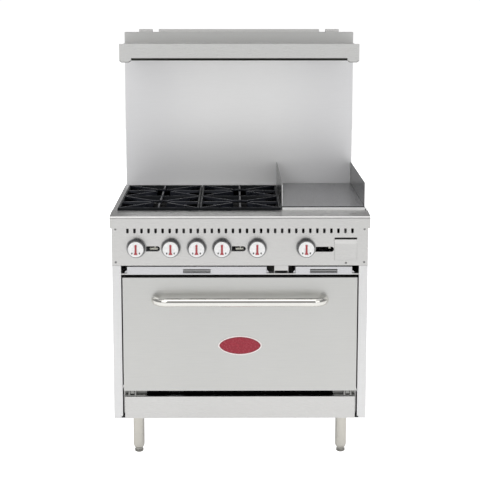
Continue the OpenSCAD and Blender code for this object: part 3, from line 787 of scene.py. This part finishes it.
def make_shelf():
    """Folded shelf: plate with a front lip, a rolled hem under it and a closed channel at each end. The hem
    and the channels' bottom seams are near-black steel, painted shade.
    """
    low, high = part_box("high_shelf")
    half = (high.x - low.x) / 2 / MM
    front, back = (low.y - FRONT) / MM, (high.y - FRONT) / MM
    top, foot = high.z / MM, low.z / MM
    hem_z1 = foot + 16
    inner = 410
    t = 1.5

    def slab(bm, a, b, radius=0.0):
        add_slab(bm, point(*a), point(*b), radius * MM)

    bm = bmesh.new()
    slab(bm, (-half, front, hem_z1), (half, front + t, top), 0.6)
    slab(bm, (-half, front + t, top - 10), (half, back, top - 10 + t))
    for x in (-half, half - t):
        slab(bm, (x, front + t, hem_z1), (x + t, back, top - 10))
    shelf = add_mesh("shelf_folded_sheet", bm, STEEL_SHELF, BODY)
    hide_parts("high_shelf")

    bm = bmesh.new()
    curl = [(0.2, 0), (2.2, -4.5), (5.5, -7.6), (9.5, -9.0), (12, -9.4), (12, -8.0), (6, -5.6), (3, 0)]
    add_prism(bm, curl, lambda u, v, w: point(w - inner, front + u, hem_z1 + v), 2 * inner)
    add_mesh("shelf_hem", bm, SHADE_STEEL, BODY, 40)
    bm = bmesh.new()
    edge = [point(x, front + 2, hem_z1 - 0.2) for x in (-inner, inner)]
    add_tube(bm, edge, 0.9 * MM, 8)
    add_mesh("shelf_hem_edge", bm, WIRE, BODY, 60)

    for s in (-1, 1):
        outline = [(half, hem_z1 + t), (half, foot + 6), (half - 9, foot), (inner + 9, foot),
                   (inner, foot + 6), (inner, hem_z1 + t)]
        outline = [(s * u, v) for u, v in outline]
        bm = bmesh.new()
        add_prism(bm, outline, lambda u, v, w: point(u, front + w, v), back - front)
        channel = add_mesh(f"shelf_channel_{s}", bm, STEEL_SHELF, BODY, 30)
        bevel(channel, 1.4, 3)
        bm = bmesh.new()
        seam = ((inner + 1, foot + 7), (inner + 9, foot + 1.4),
                (half - 9, foot + 1.4), (half - 1.5, foot + 7))
        add_tube(bm, [point(s * x, front + 1.0, z) for x, z in seam], 1.3 * MM, 8)
        add_mesh(f"shelf_channel_seam_{s}", bm, SHADE_STEEL, BODY, 60)


make_shelf()


# ---------- Trays ----------

def make_tray_details():
    """The bent-in tab behind each finger slot, in dark steel as painted shade in the slot, and the bright
    corner lugs of the runners.
    """
    trays = (("left_crumb_tray", -203, (-403, 95)), ("right_crumb_tray", 250, (198.5, 400.5)))
    slot_length = 98
    lip = 5
    for node, slot_x, ends in trays:
        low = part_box(node)[0]
        foot = low.z / MM + lip
        bm = bmesh.new()
        add_slab(bm, point(slot_x, 4.0, foot + 4.2), point(slot_x + slot_length, 5.2, foot + 10.4), 0.3 * MM)
        add_mesh(f"{node}_tab", bm, SHADED_SPLASH_STEEL, node)
        bm = bmesh.new()
        for x, s in ((ends[0], -1), (ends[1], 1)):
            corners = [(x + s * 1.6, foot + 1.5), (x + s * 9.5, foot + 1.5), (x + s * 7.5, foot + 4.0),
                       (x + s * 4.0, foot + 9.0), (x + s * 1.6, foot + 9.0)]
            add_prism(bm, corners, lambda u, v, w: point(u, 2.0 + w, v), 1.2)
        add_mesh(f"{node}_runner_lugs", bm, STEEL_TRAY, BODY)


make_tray_details()


# ---------- Griddle ----------

def make_griddle():
    """Ground griddle plate, the rolled front edges of the splash walls and the seam at their rear corner.
    The left edge and the seam are near white, a painted highlight; the right edge is in the splash walls'
    dark steel, painted shade.
    """
    low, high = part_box("griddle_plate")
    bm = bmesh.new()
    add_slab(bm, low, high, 1.2 * MM, 3)
    plate = add_mesh("griddle_ground_plate", bm, GRIDDLE, BODY)
    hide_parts("griddle_plate")
    low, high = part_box("griddle_splash")
    front = (low.y - FRONT) / MM
    top = high.z / MM - 7
    plate_top = 914.5
    edges = (("left", low.x / MM + 2.0, 2.0, HIGHLIGHT_STEEL), ("right", high.x / MM - 1.3, 1.3, SHADED_SPLASH_STEEL))
    for name, x, radius, material in edges:
        bm = bmesh.new()
        add_tube(bm, [point(x, front + radius, plate_top), point(x, front + radius, top)], radius * MM, 12)
        add_mesh(f"splash_{name}_rolled_edge", bm, material, BODY, 60)
    bm = bmesh.new()
    seam_x, seam_depth = high.x / MM - 5.0, (high.y - FRONT) / MM - 3.0
    add_tube(bm, [point(seam_x, seam_depth, 918), point(seam_x, seam_depth, high.z / MM - 1)], 1.6 * MM, 8)
    add_mesh("splash_corner_seam", bm, HIGHLIGHT_STEEL, BODY, 60)


make_griddle()


# ---------- Feet and springs ----------

def make_foot(name):
    """Bullet foot: a rounded tip, three ribs and a plain stem into the leg."""
    node = f"foot_{name}"
    low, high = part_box(node)
    centre = (low + high) / 2
    radius = (high.x - low.x) / 2 / MM
    tall = (high.z - low.z) / MM
    place = lambda u, v, w: Vector((centre.x + u * MM, centre.y + v * MM, low.z + w * MM))
    profile = [(0, 0), (radius * 0.62, 0), (radius * 0.74, 1.2), (radius * 0.76, 3.0)]
    rib_pitch = 3.2
    for i in range(3):
        w = 3.0 + i * rib_pitch
        profile += [(radius * 0.98, w + 0.4), (radius, w + 1.2), (radius * 0.98, w + 2.2),
                    (radius * 0.84, w + 2.8)]
    stem = radius * 0.48
    profile += [(radius * 0.86, 16.5), (radius * 0.80, 17.8), (stem, 18.0), (stem, tall * 0.99), (0, tall)]
    bm = bmesh.new()
    add_lathe(bm, profile, place, 36)
    foot = add_mesh(f"{node}_bullet", bm, FOOT_STEEL, node, 36)
    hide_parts(node)


def make_springs():
    """A coil with straight ends on each side of the door, in place of the plain tubes."""
    low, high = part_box("door_springs")
    radius, wire = (high.z - low.z) / 2 / MM, 1.3
    coil_radius = radius - wire
    turns, turn_steps, tail = 34, 12, 14
    z = (high.z + low.z) / 2 / MM
    start, end = (low.y - FRONT) / MM, (high.y - FRONT) / MM
    for name, x in (("left", low.x / MM + radius), ("right", high.x / MM - radius)):
        path = [point(x, start, z), point(x, start + 10, z)]
        steps = turns * turn_steps
        for i in range(steps + 1):
            a = 2 * math.pi * i / turn_steps
            depth = start + tail + (end - start - 2 * tail) * i / steps
            path.append(point(x + coil_radius * math.cos(a), depth, z + coil_radius * math.sin(a)))
        path += [point(x, end - 10, z), point(x, end, z)]
        bm = bmesh.new()
        add_tube(bm, path, wire * MM, 8)
        spring = add_mesh(f"door_spring_{name}", bm, WIRE, None, 60)
        point(x, start, z)
        point(x, end, z)
        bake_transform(spring)
        if name == "left":
            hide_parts("door_springs")


for place_name in ("front_left", "front_right", "rear_left", "rear_right"):
    make_foot(place_name)
make_springs()


# ---------- Studio ----------

FLOOR_GLOW = 0.30
FLOOR_SEEN = 0.85
BACKDROP_SEEN = 1.05
# Height on the sky, 0 straight down to 1 straight up, and its grey
ROOM_TONES = ((0.51, 1.0), (0.57, 0.32), (0.80, 0.20), (0.925, 1.0))


def make_camera():
    """A little left of the middle, 5.2 m in front of the side panels and 1.7 m up, looking slightly down."""
    front_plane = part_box("left_side_panel")[0][1]
    data = bpy.data.cameras.new("camera")
    data.lens = 110.34
    data.sensor_width = 36.0
    camera = bpy.data.objects.new("camera", data)
    bpy.context.scene.collection.objects.link(camera)
    distance, height, tilt, turn = 5.1594, 1.7062, 9.863, -0.3257
    camera.location = (-0.0293, front_plane - distance, height)
    camera.rotation_euler = (math.radians(90 - tilt), 0, math.radians(turn))
    bpy.context.scene.camera = camera


def make_floor():
    """Pale paper floor, a little brighter to the camera than in reflections."""
    bm = bmesh.new()
    bmesh.ops.create_grid(bm, x_segments=1, y_segments=1, size=12)
    material, shader, add, link = new_material("floor_paper")
    clouds = streak_noise(add, link, (1, 1, 1), 3.0)
    tone = blend_colours(add, link, clouds, (0.93, 0.93, 0.93), (0.96, 0.96, 0.96))
    link(tone, shader.inputs["Base Color"])
    shader.inputs["Roughness"].default_value = 0.9
    shader.inputs["Specular IOR Level"].default_value = 0.0
    shader.inputs["Emission Color"].default_value = (1, 1, 1, 1)
    shader.inputs["Emission Strength"].default_value = FLOOR_GLOW
    seen = add("ShaderNodeLightPath")
    glow = add("ShaderNodeEmission")
    both = add("ShaderNodeAddShader")
    choose = add("ShaderNodeMixShader")
    glow.inputs["Strength"].default_value = FLOOR_SEEN
    link(shader.outputs[0], both.inputs[0])
    link(glow.outputs[0], both.inputs[1])
    link(seen.outputs["Is Camera Ray"], choose.inputs["Fac"])
    link(shader.outputs[0], choose.inputs[1])
    link(both.outputs[0], choose.inputs[2])
    link(choose.outputs[0], material.node_tree.nodes["Material Output"].inputs["Surface"])
    mesh = bpy.data.meshes.new("floor")
    bm.to_mesh(mesh)
    bm.free()
    mesh.materials.append(material)
    floor = bpy.data.objects.new("floor", mesh)
    bpy.context.scene.collection.objects.link(floor)


def make_light(name, location, target, size, power):
    """A square soft light, aimed at target."""
    data = bpy.data.lights.new(name, "AREA")
    data.energy = power
    data.shape = "SQUARE"
    data.size = size
    light = bpy.data.objects.new(name, data)
    bpy.context.scene.collection.objects.link(light)
    light.location = location
    light.rotation_euler = (Vector(target) - Vector(location)).to_track_quat("-Z", "Y").to_euler()


def make_world():
    """White backdrop; the metal reflects a pale floor, a darker wall above it and a bright ceiling."""
    world = bpy.data.worlds.new("studio")
    bpy.context.scene.world = world
    world.use_nodes = True
    nodes, link = world.node_tree.nodes, world.node_tree.links.new
    background = nodes["Background"]
    coords = nodes.new("ShaderNodeTexCoord")
    split = nodes.new("ShaderNodeSeparateXYZ")
    ramp = nodes.new("ShaderNodeValToRGB")
    to_unit = nodes.new("ShaderNodeMapRange")
    to_unit.inputs["From Min"].default_value = -1.0
    ramp.color_ramp.elements[0].color = (0.75, 0.75, 0.75, 1)
    ramp.color_ramp.elements[1].color = (1.0, 1.0, 1.0, 1)
    for position, level in ROOM_TONES:
        ramp.color_ramp.elements.new(position).color = (level, level, level, 1)
    link(coords.outputs["Generated"], split.inputs["Vector"])
    link(split.outputs["Z"], to_unit.inputs["Value"])
    link(to_unit.outputs["Result"], ramp.inputs["Fac"])
    link(ramp.outputs["Color"], background.inputs["Color"])
    backdrop = nodes.new("ShaderNodeBackground")
    backdrop.inputs["Color"].default_value = (1, 1, 1, 1)
    backdrop.inputs["Strength"].default_value = BACKDROP_SEEN
    seen = nodes.new("ShaderNodeLightPath")
    mix = nodes.new("ShaderNodeMixShader")
    link(seen.outputs["Is Camera Ray"], mix.inputs["Fac"])
    link(background.outputs["Background"], mix.inputs[1])
    link(backdrop.outputs["Background"], mix.inputs[2])
    link(mix.outputs["Shader"], nodes["World Output"].inputs["Surface"])


make_camera()
make_floor()
make_world()
make_light("key", (-2.2, -3.6, 3.2), (0, 0, 0.8), 2.4, 30)
make_light("fill", (2.6, -3.2, 2.2), (0, 0, 0.7), 2.0, 15)
make_light("top", (0, -0.6, 3.6), (0, 0, 0.9), 2.5, 12)
bpy.context.scene.view_settings.view_transform = "Standard"
